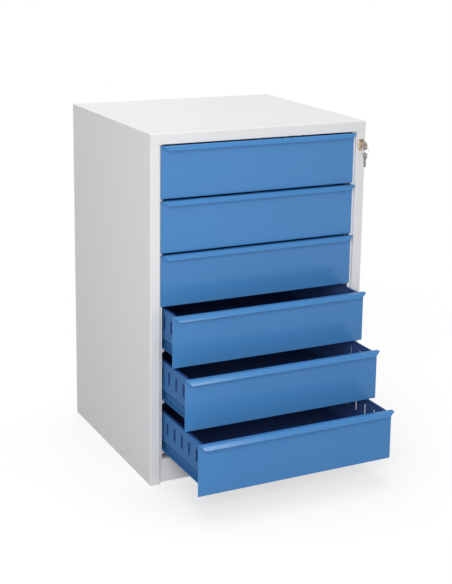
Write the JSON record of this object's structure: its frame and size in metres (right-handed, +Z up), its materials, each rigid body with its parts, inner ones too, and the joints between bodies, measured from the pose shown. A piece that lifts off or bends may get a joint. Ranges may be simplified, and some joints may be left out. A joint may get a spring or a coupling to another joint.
{
  "type": "drawer cabinet",
  "caption": "Free-standing steel drawer cabinet with full-width folded lip handles, roller-guided drawers and a central key lock in the right front stile.",
  "frame": {"origin": "centre of the cabinet's footprint, on the floor", "axes": "+Z up, +X to the right as seen from the front, +Y from the drawer fronts to the back"},
  "size_m": [0.556, 0.729, 0.83],
  "materials": {
    "shell": "light grey powder coat, fine satin texture",
    "drawer_blue": "mid blue powder coat, smooth satin gloss",
    "zinc": "bright zinc plating",
    "nylon": "natural nylon, faintly waxy",
    "nickel": "warm nickel plating"
  },
  "bodies": {
    "cabinet": {"side_left": "shell", "side_right": "shell", "top_panel": "shell", "back_panel": "shell", "base_panel": "shell", "plinth": "shell", "post_front_left": "shell", "post_front_right": "shell", "post_rear_left": "shell", "post_rear_right": "shell", "rail_1": "zinc", "rail_2": "zinc", "rail_3": "zinc", "rail_4": "zinc", "rail_5": "zinc", "rail_6": "zinc", "rail_axles": "zinc", "lock_housing": "nickel", "lock_clip": "zinc", "bar_guides": "zinc"},
    "front_rollers_1": {"front_rollers_1": "nylon"},
    "front_rollers_2": {"front_rollers_2": "nylon"},
    "front_rollers_3": {"front_rollers_3": "nylon"},
    "front_rollers_4": {"front_rollers_4": "nylon"},
    "front_rollers_5": {"front_rollers_5": "nylon"},
    "front_rollers_6": {"front_rollers_6": "nylon"},
    "drawer_1": {"tray_1": "drawer_blue", "front_1": "drawer_blue", "drawer_runner_1": "drawer_blue"},
    "rear_rollers_1": {"rear_rollers_1": "nylon"},
    "drawer_2": {"tray_2": "drawer_blue", "front_2": "drawer_blue", "drawer_runner_2": "drawer_blue"},
    "rear_rollers_2": {"rear_rollers_2": "nylon"},
    "drawer_3": {"tray_3": "drawer_blue", "front_3": "drawer_blue", "drawer_runner_3": "drawer_blue"},
    "rear_rollers_3": {"rear_rollers_3": "nylon"},
    "drawer_4": {"tray_4": "drawer_blue", "front_4": "drawer_blue", "drawer_runner_4": "drawer_blue"},
    "rear_rollers_4": {"rear_rollers_4": "nylon"},
    "drawer_5": {"tray_5": "drawer_blue", "front_5": "drawer_blue", "drawer_runner_5": "drawer_blue"},
    "rear_rollers_5": {"rear_rollers_5": "nylon"},
    "drawer_6": {"tray_6": "drawer_blue", "front_6": "drawer_blue", "drawer_runner_6": "drawer_blue"},
    "rear_rollers_6": {"rear_rollers_6": "nylon"},
    "lock_plug": {"lock_plug": "nickel", "lock_cam": "zinc"},
    "lock_bar": {"lock_bar": "zinc"},
    "key": {"key": "nickel"},
    "key_ring": {"key_ring": "nickel"},
    "spare_key": {"spare_key": "nickel"}
  },
  "joints": [
    {"name": "drawer_1_slide", "type": "slide", "parent": "cabinet", "child": "drawer_1", "axis": [0, -1, 0], "range_m": [0, 0.37]},
    {"name": "drawer_2_slide", "type": "slide", "parent": "cabinet", "child": "drawer_2", "axis": [0, -1, 0], "range_m": [0, 0.37]},
    {"name": "drawer_3_slide", "type": "slide", "parent": "cabinet", "child": "drawer_3", "axis": [0, -1, 0], "range_m": [0, 0.37]},
    {"name": "drawer_4_slide", "type": "slide", "parent": "cabinet", "child": "drawer_4", "axis": [0, -1, 0], "range_m": [-0.068, 0.302]},
    {"name": "drawer_5_slide", "type": "slide", "parent": "cabinet", "child": "drawer_5", "axis": [0, -1, 0], "range_m": [-0.138, 0.232]},
    {"name": "drawer_6_slide", "type": "slide", "parent": "cabinet", "child": "drawer_6", "axis": [0, -1, 0], "range_m": [-0.21, 0.16]},
    {"name": "front_rollers_1_spin", "type": "hinge", "parent": "cabinet", "child": "front_rollers_1", "pos_m": [0, -0.2375, 0.7006], "axis": [1, 0, 0], "continuous": true},
    {"name": "rear_rollers_1_spin", "type": "hinge", "parent": "drawer_1", "child": "rear_rollers_1", "pos_m": [0, 0.192, 0.69975], "axis": [1, 0, 0], "continuous": true},
    {"name": "front_rollers_2_spin", "type": "hinge", "parent": "cabinet", "child": "front_rollers_2", "pos_m": [0, -0.2375, 0.5752], "axis": [1, 0, 0], "continuous": true},
    {"name": "rear_rollers_2_spin", "type": "hinge", "parent": "drawer_2", "child": "rear_rollers_2", "pos_m": [0, 0.192, 0.57435], "axis": [1, 0, 0], "continuous": true},
    {"name": "front_rollers_3_spin", "type": "hinge", "parent": "cabinet", "child": "front_rollers_3", "pos_m": [0, -0.2375, 0.4498], "axis": [1, 0, 0], "continuous": true},
    {"name": "rear_rollers_3_spin", "type": "hinge", "parent": "drawer_3", "child": "rear_rollers_3", "pos_m": [0, 0.192, 0.44895], "axis": [1, 0, 0], "continuous": true},
    {"name": "front_rollers_4_spin", "type": "hinge", "parent": "cabinet", "child": "front_rollers_4", "pos_m": [0, -0.2375, 0.3244], "axis": [1, 0, 0], "continuous": true},
    {"name": "rear_rollers_4_spin", "type": "hinge", "parent": "drawer_4", "child": "rear_rollers_4", "pos_m": [0, 0.124, 0.32355], "axis": [1, 0, 0], "continuous": true},
    {"name": "front_rollers_5_spin", "type": "hinge", "parent": "cabinet", "child": "front_rollers_5", "pos_m": [0, -0.2375, 0.199], "axis": [1, 0, 0], "continuous": true},
    {"name": "rear_rollers_5_spin", "type": "hinge", "parent": "drawer_5", "child": "rear_rollers_5", "pos_m": [0, 0.054, 0.19815], "axis": [1, 0, 0], "continuous": true},
    {"name": "front_rollers_6_spin", "type": "hinge", "parent": "cabinet", "child": "front_rollers_6", "pos_m": [0, -0.2375, 0.0736], "axis": [1, 0, 0], "continuous": true},
    {"name": "rear_rollers_6_spin", "type": "hinge", "parent": "drawer_6", "child": "rear_rollers_6", "pos_m": [0, -0.018, 0.07275], "axis": [1, 0, 0], "continuous": true},
    {"name": "plug_turn", "type": "hinge", "parent": "cabinet", "child": "lock_plug", "pos_m": [0.266, -0.255, 0.7735], "axis": [0, -1, 0], "range_deg": [0, 90]},
    {"name": "bar_lift", "type": "slide", "parent": "cabinet", "child": "lock_bar", "axis": [0, 0, 1], "range_m": [0, 0.0085]},
    {"name": "key_draw", "type": "slide", "parent": "lock_plug", "child": "key", "axis": [0, -1, 0], "range_m": [0, 0.024]},
    {"name": "ring_swing", "type": "hinge", "parent": "key", "child": "key_ring", "pos_m": [0.266, -0.276, 0.7727], "axis": [1, 0, 0], "range_deg": [-60, 10]},
    {"name": "spare_key_swing", "type": "hinge", "parent": "key_ring", "child": "spare_key", "pos_m": [0.266, -0.276, 0.7513], "axis": [1, 0, 0], "range_deg": [-45, 15]}
  ],
  "couplings": [
    {"joint": "front_rollers_1_spin", "follows": "drawer_1_slide", "rad_per_m": 142.86},
    {"joint": "rear_rollers_1_spin", "follows": "drawer_1_slide", "rad_per_m": 176.99},
    {"joint": "front_rollers_2_spin", "follows": "drawer_2_slide", "rad_per_m": 142.86},
    {"joint": "rear_rollers_2_spin", "follows": "drawer_2_slide", "rad_per_m": 176.99},
    {"joint": "front_rollers_3_spin", "follows": "drawer_3_slide", "rad_per_m": 142.86},
    {"joint": "rear_rollers_3_spin", "follows": "drawer_3_slide", "rad_per_m": 176.99},
    {"joint": "front_rollers_4_spin", "follows": "drawer_4_slide", "rad_per_m": 142.86},
    {"joint": "rear_rollers_4_spin", "follows": "drawer_4_slide", "rad_per_m": 176.99},
    {"joint": "front_rollers_5_spin", "follows": "drawer_5_slide", "rad_per_m": 142.86},
    {"joint": "rear_rollers_5_spin", "follows": "drawer_5_slide", "rad_per_m": 176.99},
    {"joint": "front_rollers_6_spin", "follows": "drawer_6_slide", "rad_per_m": 142.86},
    {"joint": "rear_rollers_6_spin", "follows": "drawer_6_slide", "rad_per_m": 176.99},
    {"joint": "plug_turn", "follows": "bar_lift", "rad_per_m": 184.8}
  ]
}
